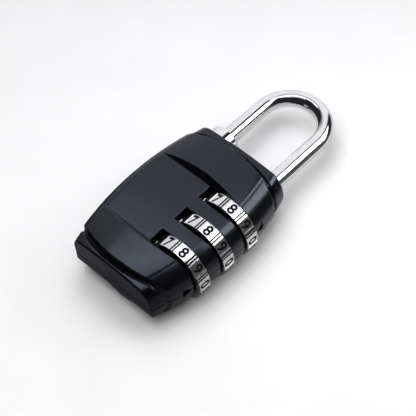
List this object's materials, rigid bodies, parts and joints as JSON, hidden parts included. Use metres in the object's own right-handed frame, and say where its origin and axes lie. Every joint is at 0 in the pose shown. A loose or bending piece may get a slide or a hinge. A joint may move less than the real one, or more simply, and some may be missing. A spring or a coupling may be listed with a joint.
{
  "type": "combination padlock",
  "caption": "Small combination padlock: black body with bowed sides, number dials along one edge, and a chrome shackle that lifts out of a chrome collar.",
  "frame": {"origin": "middle of the lock's outline, on the surface that it lies on", "axes": "+Y along the shackle, away from the body; +Z out of the front face; +X towards the edge with the dials"},
  "size_m": [0.031, 0.066, 0.0149],
  "materials": {
    "black_enamel": "smooth satin-gloss black enamel",
    "dial_chrome": "satin chrome plating",
    "chrome": "bright chrome plating",
    "brass": "turned brass",
    "steel": "plain turned steel",
    "spring_steel": "spring steel"
  },
  "bodies": {
    "lock_body": {"front_shell": "black_enamel", "back_shell": "black_enamel", "shackle_collar": "chrome", "leg_bush": "steel", "shackle_spring": "spring_steel", "spring_seat": "steel", "detent_leaf_1": "spring_steel", "detent_leaf_2": "spring_steel", "detent_leaf_3": "spring_steel", "shell_pin_1": "steel", "shell_pin_2": "steel", "shell_pin_3": "steel", "shell_pin_4": "steel"},
    "shackle_rod": {"shackle": "chrome"},
    "upper_dial": {"dial_1": "dial_chrome", "code_sleeve_1": "brass"},
    "middle_dial": {"dial_2": "dial_chrome", "code_sleeve_2": "brass"},
    "lower_dial": {"dial_3": "dial_chrome", "code_sleeve_3": "brass"}
  },
  "joints": [
    {"name": "shackle_slide", "type": "slide", "parent": "lock_body", "child": "shackle_rod", "axis": [0, 1, 0], "range_m": [0, 0.0074], "deforming": ["shackle_spring"]},
    {"name": "upper_dial_turn", "type": "hinge", "parent": "lock_body", "child": "upper_dial", "pos_m": [0.00817, -0.00607, 0.0075], "axis": [0, 1, 0], "continuous": true},
    {"name": "middle_dial_turn", "type": "hinge", "parent": "lock_body", "child": "middle_dial", "pos_m": [0.00817, -0.01348, 0.0075], "axis": [0, 1, 0], "continuous": true},
    {"name": "lower_dial_turn", "type": "hinge", "parent": "lock_body", "child": "lower_dial", "pos_m": [0.00817, -0.02088, 0.0075], "axis": [0, 1, 0], "continuous": true}
  ]
}
